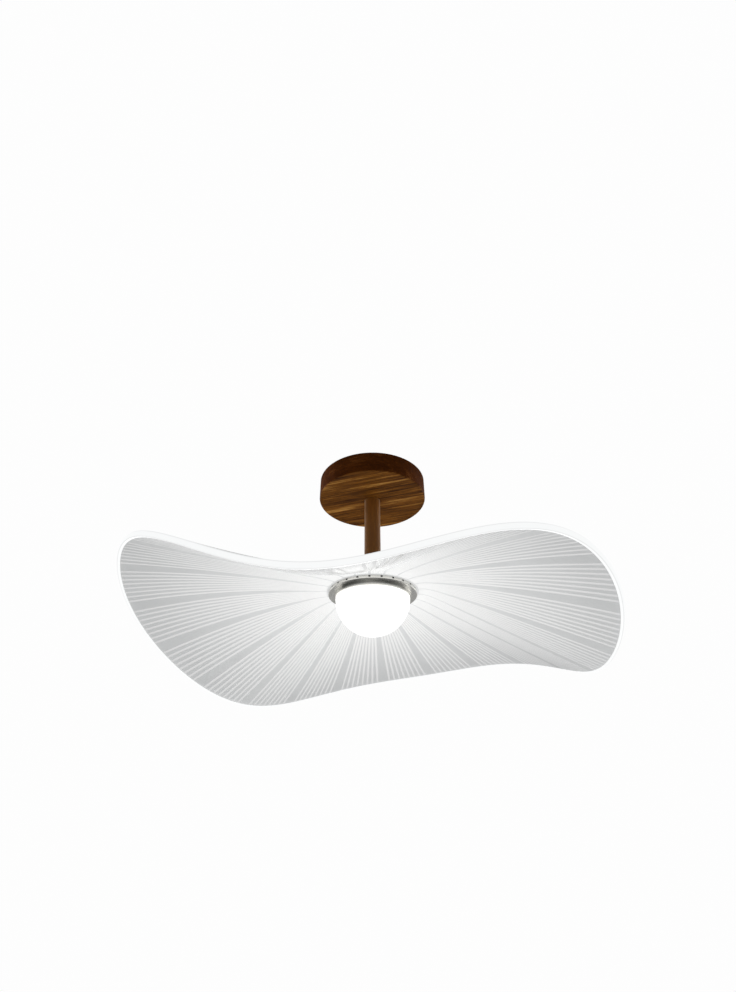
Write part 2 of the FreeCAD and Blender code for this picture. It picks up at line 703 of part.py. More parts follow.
def shade():
    lower = formed_face(underside)
    upper = formed_face(upper_side)
    faces = [lower, upper]
    hole_edges = []
    for face, z in ((lower, Z_SHADE), (upper, Z_SHADE_TOP)):
        hole = Part.makeCircle(SHADE_HOLE_R, Vector(0, 0, z))
        hole_edges.append(hole)
        rim = closed_edges(face)[0]
        faces.append(Part.makeFace([Part.Wire(rim), Part.Wire(hole)], "Part::FaceMakerBullseye"))
    faces.append(Part.makeRuledSurface(hole_edges[0], hole_edges[1]))
    faces.append(Part.makeRuledSurface(closed_edges(lower)[1], closed_edges(upper)[1]))
    shell = Part.makeShell(faces)
    shell.sewShape()
    solid = Part.makeSolid(shell)
    if solid.Volume < 0:
        solid.reverse()
    return solid


# Collar, trim ring and drum under the shade

def vent_collar():
    ring = tube(COLLAR_R - COLLAR_T, COLLAR_R, Z_COLLAR, Z_SHADE)
    slot = block(COLLAR_R - COLLAR_T - PAST, COLLAR_R + PAST, -COLLAR_SLOT_W / 2, COLLAR_SLOT_W / 2,
                 Z_COLLAR + COLLAR_SLOT_MARGIN, Z_SHADE - COLLAR_SLOT_MARGIN)
    return ring.cut([spun(slot, azimuth) for azimuth in around(COLLAR_SLOTS, COLLAR_SLOT_AZIMUTH)])


def light_seal():
    outer = COLLAR_R - COLLAR_T - FIT
    return tube(outer - SEAL_W, outer, Z_COLLAR, Z_SHADE)


def trim_ring():
    return turned([
        (DRUM_R + FIT, Z_COLLAR), (FLANGE_R, Z_COLLAR), (FLANGE_R, Z_FLANGE + FLANGE_EDGE),
        (FLANGE_R - FLANGE_EDGE, Z_FLANGE), (SKIRT_R, Z_FLANGE), (SKIRT_R, Z_SKIRT),
        (SKIRT_R - SKIRT_T, Z_SKIRT), (SKIRT_R - SKIRT_T, Z_FLANGE), (DRUM_R + FIT, Z_FLANGE),
    ])


def lock_ring():
    ring = tube(DRUM_R + FIT, DRUM_R + FIT + LOCK_RING_W, Z_FLANGE - LOCK_RING_T, Z_FLANGE)
    notch = block(DRUM_R + LOCK_RING_W / 2, DRUM_R + 2 * LOCK_RING_W, -LOCK_NOTCH_W / 2, LOCK_NOTCH_W / 2,
                  Z_FLANGE - LOCK_RING_T - PAST, Z_FLANGE + PAST)
    return ring.cut([spun(notch, azimuth) for azimuth in around(LOCK_NOTCHES, LOCK_NOTCH_AZIMUTH)])


def dome_groove():
    """Helical way for one dome pin, from its rest at azimuth 0 down and out of the drum's lower edge."""
    rise = DOME_DROP / math.radians(DOME_TURN)
    half = DOME_PIN_R * math.hypot(1, rise / DRUM_R) + GROOVE_CLEAR
    above = (DOME_PIN_R + GROOVE_CLEAR) / DRUM_R
    below = (Z_PIN - Z_DRUM + 2 * half) / rise
    helix = Part.makeHelix(rise * 2 * math.pi, rise * (above + below), DRUM_R)
    inner = DRUM_R - GROOVE_DEPTH - GROOVE_CLEAR
    outer = DRUM_R + PAST
    corners = [Vector(r, 0, z) for r, z in ((inner, -half), (outer, -half), (outer, half), (inner, half))]
    section = Part.makePolygon(corners + corners[:1])
    groove = Part.Wire(helix).makePipeShell([section], True, True)
    groove.translate(Vector(0, 0, Z_PIN - rise * below))
    return spun(groove, -math.degrees(below))


def led_drum():
    drum = cylinder(DRUM_R, Z_DRUM, Z_HOUSING)
    drum = drum.cut(cylinder(DRUM_BORE_R, Z_DRUM_FLOOR, Z_HOUSING + PAST))
    for azimuth in DRUM_SCREW_AZIMUTHS:
        place = at(DRUM_SCREW_R, azimuth)
        drum = drum.cut(cylinder(M4.shank_r + FIT, Z_DRUM - PAST, Z_DRUM_FLOOR + PAST, place.x, place.y))
        drum = drum.cut(cylinder(M4.head_r + FIT, Z_DRUM - PAST, Z_DRUM + M4.head_h, place.x, place.y))
    for azimuth in BOARD_SCREW_AZIMUTHS:
        place = at(BOARD_SCREW_R, azimuth)
        z_end = Z_DRUM + DRUM_FLOOR_T * BOARD_HOLE_DEPTH
        drum = drum.cut(cylinder(M3.shank_r + FIT, Z_DRUM - PAST, z_end, place.x, place.y))
    drum = drum.cut(cylinder(LEAD_HOLE_R, Z_DRUM - PAST, Z_DRUM_FLOOR + PAST, 0, BOARD_LEAD_Y))
    strip_hole = Part.makeCylinder(STRIP_HOLE_R, DRUM_R + PAST, Vector(0, 0, Z_STRIP_LEAD), Vector(0, -1, 0))
    drum = drum.cut(strip_hole)
    return drum.cut([spun(dome_groove(), azimuth) for azimuth in PIN_AZIMUTHS])


def drum_screws():
    seat = Z_DRUM + M4.head_h
    length = Z_HOUSING + BOSS_H - 2 * CLEAR - seat
    places = [at(DRUM_SCREW_R, azimuth) for azimuth in DRUM_SCREW_AZIMUTHS]
    return Part.makeCompound([screw_up(M4, p.x, p.y, seat, length) for p in places])


# Light sources and wiring in the drum

Z_SOCKET_TOP = Z_DRUM_FLOOR + SOCKET_H
Z_STRIP_LEAD = Z_SHADE + SHADE_T / 2
BOARD_LEAD_Y = SOCKET_W / 2 + LEAD_REACH
Z_SOCKET_LEAD = Z_DRUM_FLOOR + SOCKET_H / 2


def led_strip():
    return tube(DRUM_R + FIT, DRUM_R + FIT + STRIP_T, Z_SHADE, Z_SHADE_TOP)


def strip_leds():
    inner = DRUM_R + FIT + STRIP_T
    z_low = Z_STRIP_LEAD - LED_W / 2
    chip = block(inner, inner + LED_T, -LED_L / 2, LED_L / 2, z_low, z_low + LED_W)
    chip = chip.cut(cylinder(inner, Z_SHADE - PAST, Z_SHADE_TOP + PAST))
    return Part.makeCompound([spun(chip, azimuth) for azimuth in around(STRIP_LEDS, 180.0 / STRIP_LEDS)])


def led_board():
    board = cylinder(BOARD_R, Z_DRUM - BOARD_T, Z_DRUM)
    for azimuth in BOARD_SCREW_AZIMUTHS:
        place = at(BOARD_SCREW_R, azimuth)
        z_low = Z_DRUM - BOARD_T - PAST
        board = board.cut(cylinder(M3.shank_r + FIT, z_low, Z_DRUM + PAST, place.x, place.y))
    return board


def board_leds():
    z_high = Z_DRUM - BOARD_T
    chips = []
    for share, count in BOARD_RINGS:
        radius = share * BOARD_R
        chip = block(radius - LED_W / 2, radius + LED_W / 2, -LED_L / 2, LED_L / 2, z_high - LED_T, z_high)
        chips += [spun(chip, azimuth) for azimuth in around(count, 180.0 / count)]
    return Part.makeCompound(chips)


def board_screws():
    places = [at(BOARD_SCREW_R, azimuth) for azimuth in BOARD_SCREW_AZIMUTHS]
    length = BOARD_T + DRUM_FLOOR_T * BOARD_SCREW_DEPTH
    return Part.makeCompound([screw_up(M3, p.x, p.y, Z_DRUM - BOARD_T, length) for p in places])


def lead_socket():
    half_l = SOCKET_L / 2
    half_w = SOCKET_W / 2
    body = block(-half_l, half_l, -half_w, half_w, Z_DRUM_FLOOR, Z_SOCKET_TOP)
    upright = [e for e in body.Edges if abs(e.BoundBox.ZLength - SOCKET_H) < SAME]
    return body.makeFillet(SOCKET_EDGE_R, upright)


def board_leads():
    leads = []
    for x in (-LEAD_PAIR_X, LEAD_PAIR_X):
        points = [
            Vector(x, SOCKET_W / 2, Z_SOCKET_LEAD),
            Vector(x, BOARD_LEAD_Y, Z_SOCKET_LEAD),
            Vector(x, BOARD_LEAD_Y, Z_DRUM),
        ]
        leads.append(wire(points, (LEAD_BEND,), HEAD_LEAD_R))
    return Part.makeCompound(leads)


def strip_leads():
    end = -math.sqrt(DRUM_R ** 2 - (LEAD_PAIR_X + HEAD_LEAD_R) ** 2)
    leads = []
    for x in (-LEAD_PAIR_X, LEAD_PAIR_X):
        points = [
            Vector(x, -SOCKET_W / 2, Z_SOCKET_LEAD),
            Vector(x, -SOCKET_W / 2 - LEAD_REACH, Z_SOCKET_LEAD),
            Vector(x, -SOCKET_W / 2 - LEAD_REACH - LEAD_CLIMB, Z_STRIP_LEAD),
            Vector(x, end, Z_STRIP_LEAD),
        ]
        leads.append(wire(points, (LEAD_BEND, LEAD_BEND), HEAD_LEAD_R))
    return Part.makeCompound(leads)


# Dome

def dome_gasket():
    return tube(NECK_R + CLEAR / 2, DOME_R - CLEAR / 2, Z_DOME_RIM, Z_FLANGE)


def dome():
    def solid(radius, z_top):
        lower = Part.makeSphere(radius, Vector(0, 0, Z_BOWL), Vector(0, 0, 1), -90, 0, 360)
        return lower.fuse(cylinder(radius, Z_BOWL, z_top)).removeSplitter()
    return solid(DOME_R, Z_DOME_RIM).cut(solid(NECK_R, Z_DOME_RIM + PAST))


def dome_pins_ring():
    z_low = Z_PIN_RING_TOP - PIN_RING_H
    in_bowl = max(Z_BOWL - z_low, 0.0)
    outer = math.sqrt(NECK_R ** 2 - in_bowl ** 2) - FIT
    ring = tube(outer - PIN_RING_T, outer, z_low, Z_PIN_RING_TOP)
    inner = DRUM_R - GROOVE_DEPTH
    length = outer - PIN_RING_T / 2 - inner
    pin = Part.makeCylinder(DOME_PIN_R, length, Vector(inner, 0, Z_PIN), Vector(1, 0, 0))
    return ring.fuse([spun(pin, azimuth) for azimuth in PIN_AZIMUTHS]).removeSplitter()


# Write one file for each piece

PIECES = {
    "ceiling_plate": ceiling_plate(),
    "stem_bridge": stem_bridge(),
    "bridge_screws": bridge_screws(),
    "lamp_pipe": lamp_pipe(),
    "pipe_nut": pipe_nut(),
    "stem_washer": stem_washer(),
    "stem": stem(),
    "thrust_washer": thrust_washer(),
    "wave_washer": wave_washer(),
    "stop_washer": stop_washer(),
    "swivel_nut": swivel_nut(),
    "driver_case": driver_case(),
    "driver_cover": driver_cover(),
    "driver_board": driver_board(),
    "small_screws": small_screws(),
    "terminal_block": terminal_block(),
    "terminal_screws": terminal_screws(),
    "earth_screw": earth_screw(),
    "earth_lead": earth_lead(),
    "line_lead": supply_lead(POLE_Y[0], LINE_X),
    "neutral_lead": supply_lead(POLE_Y[1], NEUTRAL_X),
    "lamp_lead": lamp_lead(),
    "canopy": canopy(),
    "canopy_inserts": canopy_inserts(),
    "canopy_set_screws": canopy_set_screws(),
    "upper_housing": upper_housing(),
    "stop_pin": stop_pin(),
    "shade_gasket": shade_gasket(),
    "shade": shade(),
    "vent_collar": vent_collar(),
    "light_seal": light_seal(),
    "trim_ring": trim_ring(),
    "lock_ring": lock_ring(),
    "led_drum": led_drum(),
    "drum_screws": drum_screws(),
    "led_strip": led_strip(),
    "strip_leds": strip_leds(),
    "led_board": led_board(),
    "board_leds": board_leds(),
    "board_screws": board_screws(),
    "lead_socket": lead_socket(),
    "board_leads": board_leads(),
    "strip_leads": strip_leads(),
    "dome_gasket": dome_gasket(),
    "dome": dome(),
    "dome_pins_ring": dome_pins_ring(),
}

os.makedirs("parts", exist_ok=True)
for name, shape in PIECES.items():
    shape.exportStep("parts/" + name + ".step")
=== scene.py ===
# %% [markdown]
# A semi-flush ceiling light: a walnut canopy and stem, a wavy acrylic disc whose engraved lines glow, a
# brushed nickel ring and a white opal dome. The solid model gives every piece its place, so the first
# step loads it as a fixed frame. This lesson then dresses it, piece by piece and finish by finish.

# %% Load the solid model
import bpy
import math
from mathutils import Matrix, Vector


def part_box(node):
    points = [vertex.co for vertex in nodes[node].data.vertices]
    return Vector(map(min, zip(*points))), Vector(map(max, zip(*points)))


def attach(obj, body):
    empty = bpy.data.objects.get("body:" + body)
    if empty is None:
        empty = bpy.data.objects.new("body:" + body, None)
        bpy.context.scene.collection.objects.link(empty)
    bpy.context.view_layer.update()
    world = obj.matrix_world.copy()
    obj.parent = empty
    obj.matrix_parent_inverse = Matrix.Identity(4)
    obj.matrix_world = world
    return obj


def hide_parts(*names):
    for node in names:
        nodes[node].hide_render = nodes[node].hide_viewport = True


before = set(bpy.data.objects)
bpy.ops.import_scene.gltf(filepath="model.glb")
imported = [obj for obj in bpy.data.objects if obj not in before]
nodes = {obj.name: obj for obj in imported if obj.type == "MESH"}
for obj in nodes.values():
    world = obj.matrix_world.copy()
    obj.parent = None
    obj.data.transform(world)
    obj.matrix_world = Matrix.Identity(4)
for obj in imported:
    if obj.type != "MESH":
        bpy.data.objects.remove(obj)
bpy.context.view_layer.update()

# %% [markdown]
# The picture was taken close to the lamp with a wide lens, from below the shade. A long lens from far away
# would be easier to set up, but it would flatten the ellipses of the canopy and the ring alike, and in the
# picture they differ. So the camera stands about 0.58 m from the ring and looks up.

# %% Camera
FRAME_HEIGHT = 992           # pixels
FOCAL_PIXELS = 510.0
SENSOR_MM = 36.0
NEAREST_SEEN = 0.01
CAMERA_DISTANCE = 0.576
CAMERA_DROP = 22.2           # degrees under the ring's level
CAMERA_TILT = 33.15          # degrees above the horizon
CAMERA_SIDE = -0.0053
AIM_OVER_DOME = 0.046        # the level that the camera drops from, over the dome's lowest point

aim_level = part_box("dome")[0].z + AIM_OVER_DOME
drop = math.radians(CAMERA_DROP)
camera_data = bpy.data.cameras.new("photo_camera")
camera_data.sensor_width = SENSOR_MM
camera_data.lens = FOCAL_PIXELS / FRAME_HEIGHT * SENSOR_MM
camera_data.clip_start = NEAREST_SEEN
camera = bpy.data.objects.new("photo_camera", camera_data)
camera.location = (
    CAMERA_SIDE,
    -CAMERA_DISTANCE * math.cos(drop),
    aim_level - CAMERA_DISTANCE * math.sin(drop),
)
camera.rotation_euler = (math.radians(90.0 + CAMERA_TILT), 0.0, 0.0)
bpy.context.scene.collection.objects.link(camera)
bpy.context.scene.camera = camera
print("camera:", [round(v, 3) for v in camera.location], "lens", round(camera_data.lens, 2), "mm")

# %% [markdown]
# A plain pale floor lies at the height of a room's floor, far under the lamp. More light on it would make it
# pale, but would also light the lamp from below. So it gets a little glow that only the camera's rays see,
# straight or through the sheet, and a Light Path node tells those rays apart.

# %% Floor
FLOOR_LEVEL = -2.4
FLOOR_HALF = 6.0
FLOOR_PAINT = (0.82, 0.82, 0.81, 1.0)
FLOOR_ROUGH = 0.8
FLOOR_SEEN = (0.60, 0.60, 0.59, 1.0)


def mesh_object(name, points, faces):
    mesh = bpy.data.meshes.new(name)
    mesh.from_pydata(points, [], faces)
    mesh.update()
    made = bpy.data.objects.new(name, mesh)
    bpy.context.scene.collection.objects.link(made)
    return made


def node_at(tree, kind, **values):
    node = tree.nodes.new(kind)
    for name, value in values.items():
        setattr(node, name, value)
    return node


def seen_rays(tree):
    """1 for rays from the camera, straight or through the sheet, and 0 for all others."""
    path = node_at(tree, "ShaderNodeLightPath")
    either = node_at(tree, "ShaderNodeMath", operation="MAXIMUM")
    tree.links.new(path.outputs["Is Camera Ray"], either.inputs[0])
    tree.links.new(path.outputs["Is Transmission Ray"], either.inputs[1])
    return either.outputs[0]


square = ((-1, -1), (1, -1), (1, 1), (-1, 1))
corners = [(x * FLOOR_HALF, y * FLOOR_HALF, FLOOR_LEVEL) for x, y in square]
floor = mesh_object("floor", corners, [(0, 1, 2, 3)])
floor_paint = bpy.data.materials.new("floor_paint")
floor_paint.use_nodes = True
floor_shader = floor_paint.node_tree.nodes["Principled BSDF"]
floor_shader.inputs["Base Color"].default_value = FLOOR_PAINT
floor_shader.inputs["Roughness"].default_value = FLOOR_ROUGH
floor_shader.inputs["Emission Color"].default_value = FLOOR_SEEN
floor_paint.node_tree.links.new(seen_rays(floor_paint.node_tree), floor_shader.inputs["Emission Strength"])
floor.data.materials.append(floor_paint)
print("floor at", FLOOR_LEVEL, "m")

# %% [markdown]
# The light is a soft studio light: a dim sky all round, a broad panel under the lamp and one on each side. A
# single lamp would be simpler, but it throws hard shadows. The camera itself sees a white backdrop in place
# of the dim sky, by the same rule as for the floor.

# %% Studio light
LAMP_MIDDLE = Vector((0.0, 0.0, -0.12))
SKY = (0.95, 0.97, 1.0, 1.0)
SKY_STRENGTH = 0.10
BACKDROP = (1.0, 1.0, 1.0, 1.0)
BACKDROP_STRENGTH = 0.985


def soft_panel(name, place, size, power, mirrored=True):
    """A square panel that looks at the lamp, and that only glossy surfaces may show."""
    data = bpy.data.lights.new(name, "AREA")
    data.shape = "SQUARE"
    data.size = size
    data.energy = power
    panel = bpy.data.objects.new(name, data)
    panel.location = place
    panel.rotation_euler = (LAMP_MIDDLE - Vector(place)).to_track_quat("-Z", "Y").to_euler()
    panel.visible_camera = False
    panel.visible_transmission = False
    panel.visible_glossy = mirrored
    bpy.context.scene.collection.objects.link(panel)
    return panel


def background(tree, colour, strength):
    node = node_at(tree, "ShaderNodeBackground")
    node.inputs["Color"].default_value = colour
    node.inputs["Strength"].default_value = strength
    return node.outputs[0]


soft_panel("panel_below", (0.0, 0.3, -1.5), size=1.6, power=8.0, mirrored=False)
side_panels = [
    soft_panel("panel_left", (-1.3, 1.0, -0.15), size=1.5, power=11.0),
    soft_panel("panel_right", (1.3, 1.0, -0.15), size=1.5, power=13.0),
]

world = bpy.data.worlds.new("studio")
bpy.context.scene.world = world
world.use_nodes = True
studio = world.node_tree
studio.nodes.clear()
output = node_at(studio, "ShaderNodeOutputWorld")
pick = node_at(studio, "ShaderNodeMixShader")
studio.links.new(seen_rays(studio), pick.inputs[0])
studio.links.new(background(studio, SKY, SKY_STRENGTH), pick.inputs[1])
studio.links.new(background(studio, BACKDROP, BACKDROP_STRENGTH), pick.inputs[2])
studio.links.new(pick.outputs[0], output.inputs["Surface"])
bpy.context.scene.view_settings.view_transform = "Standard"

# %% [markdown]
# A finish is a tree of nodes, and building one node by node takes many lines. Node trees can also be drawn by
# hand and saved, but then nobody can read them here. These helpers are short words for the nodes that come up
# again and again, and for starting a node group, which several materials can share.

# %% Words for node trees
FLOAT, VECTOR, COLOUR = "NodeSocketFloat", "NodeSocketVector", "NodeSocketColor"


class Tree:
    """Short words for building a node tree."""

    def __init__(self, tree):
        self.tree = tree

    def add(self, kind, **values):
        return node_at(self.tree, kind, **values)

    def join(self, source, socket):
        """Set a number or a colour on a socket, or link another socket to it."""
        if isinstance(source, (int, float)):
            socket.default_value = source
        elif isinstance(source, tuple):
            socket.default_value = (*source, 1.0)
        else:
            self.tree.links.new(source, socket)

    def math(self, operation, first, second=None):
        node = self.add("ShaderNodeMath", operation=operation)
        self.join(first, node.inputs[0])
        if second is not None:
            self.join(second, node.inputs[1])
        return node.outputs[0]

    def weigh(self, first, first_share, second, second_share):
        return self.math("ADD", self.math("MULTIPLY", first, first_share),
                         self.math("MULTIPLY", second, second_share))

    def noise(self, vector, scale, detail=2.0, roughness=0.5):
        node = self.add("ShaderNodeTexNoise")
        settings = {"Vector": vector, "Scale": scale, "Detail": detail, "Roughness": roughness}
        for label, value in settings.items():
            self.join(value, node.inputs[label])
        return node.outputs["Fac"]

    def stretch(self, vector, scale, turn=(0.0, 0.0, 0.0)):
        node = self.add("ShaderNodeMapping")
        node.inputs["Scale"].default_value = scale
        node.inputs["Rotation"].default_value = [math.radians(v) for v in turn]
        self.join(vector, node.inputs["Vector"])
        return node.outputs["Vector"]

    def spread(self, value, low, high, to_low=0.0, to_high=1.0):
        node = self.add("ShaderNodeMapRange")
        settings = {"Value": value, "From Min": low, "From Max": high, "To Min": to_low, "To Max": to_high}
        for label, setting in settings.items():
            self.join(setting, node.inputs[label])
        return node.outputs["Result"]

    def mix(self, factor, first, second, blend="MIX"):
        node = self.add("ShaderNodeMix", data_type="RGBA", blend_type=blend)
        self.join(factor, node.inputs["Factor"])
        self.join(first, node.inputs[6])
        self.join(second, node.inputs[7])
        return node.outputs[2]

    def split(self, vector):
        node = self.add("ShaderNodeSeparateXYZ")
        self.join(vector, node.inputs[0])
        return node.outputs


def new_group(name, inputs, outputs):
    group = bpy.data.node_groups.new(name, "ShaderNodeTree")
    for label, kind in inputs:
        group.interface.new_socket(label, in_out="INPUT", socket_type=kind)
    for label, kind in outputs:
        group.interface.new_socket(label, in_out="OUTPUT", socket_type=kind)
    tree = Tree(group)
    return group, tree, tree.add("NodeGroupInput").outputs, tree.add("NodeGroupOutput").inputs


print("words:", [word for word in vars(Tree) if not word.startswith("_")])

# %% [markdown]
# Several finishes share the same small faults: a little mottling in the colour and in the gloss. That is a
# shader node group, built once, with a few named inputs. It puts out a mask and a height, and each material
# decides what to do with them.

# %% Mottling
FINE_TO_BROAD = 14.0

mottle_group, tree, given, put = new_group(
    "mottle",
    [("Place", VECTOR), ("Size", FLOAT)],
    [("Mask", FLOAT), ("Height", FLOAT)],
)
broad = tree.noise(given["Place"], given["Size"], 3.0)
fine = tree.noise(given["Place"], tree.math("MULTIPLY", given["Size"], FINE_TO_BROAD), 2.0)
tree.join(tree.spread(broad, 0.3, 0.7), put["Mask"])
tree.join(tree.math("ADD", fine, tree.math("MULTIPLY", broad, 0.5)), put["Height"])
print("group:", mottle_group.name, "with", len(mottle_group.nodes), "nodes")

# %% [markdown]
# A material is a Principled shader with its plain numbers set on its own sockets, and the groups feeding
# what changes over the surface. This helper starts one and gives back the words to go on with.

# %% Start a material


class Finish:
    """One material: its tree, its shader and the place on the piece in metres."""

    def __init__(self, name, **plain):
        self.material = bpy.data.materials.new(name)
        self.material.use_nodes = True
        self.tree = Tree(self.material.node_tree)
        self.shader = self.material.node_tree.nodes["Principled BSDF"]
        self.place = self.tree.add("ShaderNodeTexCoord").outputs["Object"]
        for label, value in plain.items():
            self.shader.inputs[label.replace("_", " ")].default_value = value

    def group(self, group, **inputs):
        node = self.tree.add("ShaderNodeGroup", node_tree=group)
        for label, value in inputs.items():
            self.tree.join(value, node.inputs[label.replace("_", " ")])
        return node.outputs

    def feed(self, label, source):
        self.tree.join(source, self.shader.inputs[label])

    def bump(self, height, depth):
        node = self.tree.add("ShaderNodeBump")
        node.inputs["Distance"].default_value = depth
        self.tree.join(height, node.inputs["Height"])
        self.feed("Normal", node.outputs["Normal"])

    def mottled(self, size, colours, roughs):
        """Let colour and roughness go between two values each, and give back the mottling."""
        marks = self.group(mottle_group, Place=self.place, Size=size)
        self.feed("Base Color", self.tree.mix(marks["Mask"], *colours))
        self.feed("Roughness", self.tree.spread(marks["Mask"], 0.0, 1.0, *roughs))
        return marks


def dress(material, *names):
    for name in names:
        nodes[name].data.materials.clear()
        nodes[name].data.materials.append(material)


def grey(level):
    return (level, level, level)


print("finishes start from", Finish.__name__)

# %% [markdown]
# Canopy and stem are oiled walnut. Straight streaks follow the grain, and short dark pores lie in them. A
# picture of a board would break off at every edge, so the grain is a solid texture, stretched along one
# direction, and goes round the edges the way real wood does. The wall is painted darker, redder and calmer
# than the face, as painted shade, so the group also takes the way that the surface faces.

# %% Walnut grain
FIGURE_SCALE = (7.0, 70.0, 70.0)          # along and across the grain, per metre
STREAK_SCALE = (16.0, 420.0, 420.0)
PORE_SCALE = (90.0, 2200.0, 2200.0)
WALL_SHADE_SHARE = 0.6                           # how much of its figure the wall gives up to painted shade
WALL_SHADE_TONE = 0.8

walnut_group, tree, given, put = new_group(
    "walnut_grain",
    [("Along grain", VECTOR), ("Facing", VECTOR), ("Dark", COLOUR), ("Middle", COLOUR), ("Light", COLOUR),
     ("Wall stain", COLOUR)],
    [("Colour", COLOUR), ("Gloss loss", FLOAT), ("Height", FLOAT)],
)
figure = tree.noise(tree.stretch(given["Along grain"], FIGURE_SCALE), 1.0, 4.0, 0.55)
streak = tree.noise(tree.stretch(given["Along grain"], STREAK_SCALE), 1.0, 3.0, 0.6)
pore = tree.noise(tree.stretch(given["Along grain"], PORE_SCALE), 1.0, 1.0)
pores = tree.spread(pore, 0.60, 0.72)
tone = tree.weigh(figure, 0.55, streak, 0.45)
wood = tree.mix(tree.spread(tone, 0.40, 0.55), given["Dark"], given["Middle"])
wood = tree.mix(tree.spread(tone, 0.54, 0.64), wood, given["Light"])
wood = tree.mix(tree.math("MULTIPLY", pores, 0.75), wood, given["Dark"])
# painted shade: a wall that faces sideways goes towards a darker middle and takes the wall shading colour
flat = tree.math("ABSOLUTE", tree.split(given["Facing"])["Z"])
even = tree.mix(1.0, given["Middle"], grey(WALL_SHADE_TONE), "MULTIPLY")
wood = tree.mix(tree.spread(flat, 0.0, 1.0, WALL_SHADE_SHARE, 0.0), wood, even)
shading = tree.mix(flat, given["Wall stain"], grey(1.0))
tree.join(tree.mix(1.0, wood, shading, "MULTIPLY"), put["Colour"])
tree.join(tree.weigh(pores, 0.5, streak, 0.3), put["Gloss loss"])
tree.join(tree.math("SUBTRACT", tree.math("MULTIPLY", streak, 0.3), pores), put["Height"])
print("group:", walnut_group.name, "with", len(walnut_group.nodes), "nodes")

# %% [markdown]
# The grain lies nearly across the canopy and runs down the stem. The two could share one material, but the
# canopy is only oiled, with painted shade on its wall, darker and redder than its face, and the stem gets
# painted light, lighter and calmer, with a thin lacquer and a sheen that brightens its sides. So one function
# makes both from the same group.

# %% Walnut
WALNUT_DARK = (0.055, 0.016, 0.003)
WALNUT_MIDDLE = (0.255, 0.093, 0.011)
WALNUT_LIGHT = (0.680, 0.330, 0.080)
# painted shade on the canopy's wall: it is tinted darker and redder than the face
CANOPY_WALL_SHADE = (1.0, 0.70, 0.68)
CANOPY_GRAIN = (0.0, 0.0, 18.0)           # degrees
STEM_GRAIN = (0.0, 90.0, 0.0)
WALNUT_ROUGH = (0.45, 0.68)
WALNUT_DEPTH = 0.0002


def walnut(name, turn, gloss, tone=1.0, figure=1.0, wall=grey(1.0), **plain):
    """Walnut with its grain turned, and with its tone and figure as shares of the canopy's."""
    finish = Finish(name, Specular_IOR_Level=gloss, **plain)
    along = finish.tree.stretch(finish.place, (1.0, 1.0, 1.0), turn)
    facing = finish.tree.add("ShaderNodeTexCoord").outputs["Normal"]
    dark, middle, light = (
        tuple(tone * (m + figure * (c - m)) for c, m in zip(colour, WALNUT_MIDDLE))
        for colour in (WALNUT_DARK, WALNUT_MIDDLE, WALNUT_LIGHT))
    grain = finish.group(walnut_group, Along_grain=along, Facing=facing,
                         Dark=dark, Middle=middle, Light=light, Wall_stain=wall)
    finish.feed("Base Color", grain["Colour"])
    finish.feed("Roughness", finish.tree.spread(grain["Gloss loss"], 0.0, 0.8, *WALNUT_ROUGH))
    finish.bump(grain["Height"], WALNUT_DEPTH)
    return finish.material


dress(walnut("walnut_canopy", CANOPY_GRAIN, gloss=0.06, wall=CANOPY_WALL_SHADE), "canopy")
# tone=1.7 is painted light: the stem is lighter than the canopy's wood to stand in for the light on it
dress(walnut("walnut_stem", STEM_GRAIN, gloss=0.5, tone=1.7, figure=0.5,
             Coat_Weight=0.6, Coat_Roughness=0.3,
             Sheen_Weight=1.0, Sheen_Roughness=0.35, Sheen_Tint=(1.0, 0.78, 0.55, 1.0)), "stem")
print("walnut:", [m.name for m in bpy.data.materials if m.name.startswith("walnut")])

# %% [markdown]
# Turned and spun metal is brushed while it turns, so the fine lines run round the axis. The angle round the
# axis is then the direction along the lines, and the radius and height are the directions across them. On
# flat plate the lines run straight. One group does both, by its Turned input.

# %% Brushing
LAY_RADIUS = 0.05                         # turns an angle round the axis into a length along the lines
COARSE_LINES = (6.0, 900.0, 900.0)        # along and across the lines, per metre
HAIR_LINES = (18.0, 3600.0, 3600.0)

brushing_group, tree, given, put = new_group(
    "brushing",
    [("Place", VECTOR), ("Turned", FLOAT)],
    [("Streaks", FLOAT), ("Height", FLOAT)],
)
x, y, z = tree.split(given["Place"])
radius = tree.math("SQRT", tree.math("ADD", tree.math("MULTIPLY", x, x), tree.math("MULTIPLY", y, y)))
around = tree.math("MULTIPLY", tree.math("ARCTAN2", y, x), LAY_RADIUS)
turned = tree.add("ShaderNodeCombineXYZ")
for source, socket in zip((around, radius, z), turned.inputs):
    tree.join(source, socket)
lay = tree.mix(given["Turned"], given["Place"], turned.outputs[0])
coarse = tree.noise(tree.stretch(lay, COARSE_LINES), 1.0, 2.0)
hair = tree.noise(tree.stretch(lay, HAIR_LINES), 1.0, 1.0)
tree.join(tree.spread(tree.weigh(coarse, 0.6, hair, 0.4), 0.35, 0.65), put["Streaks"])
tree.join(hair, put["Height"])
print("group:", brushing_group.name, "with", len(brushing_group.nodes), "nodes")

# %% [markdown]
# The ring, the slotted collar and the cup above the shade are brushed nickel, and the hidden pieces are zinc
# plated steel, aluminium and brass. Metal shows little but what it mirrors, so one more soft panel, behind
# the lamp, is linked to the nickel pieces alone: the acrylic would mirror it as a hard white patch.

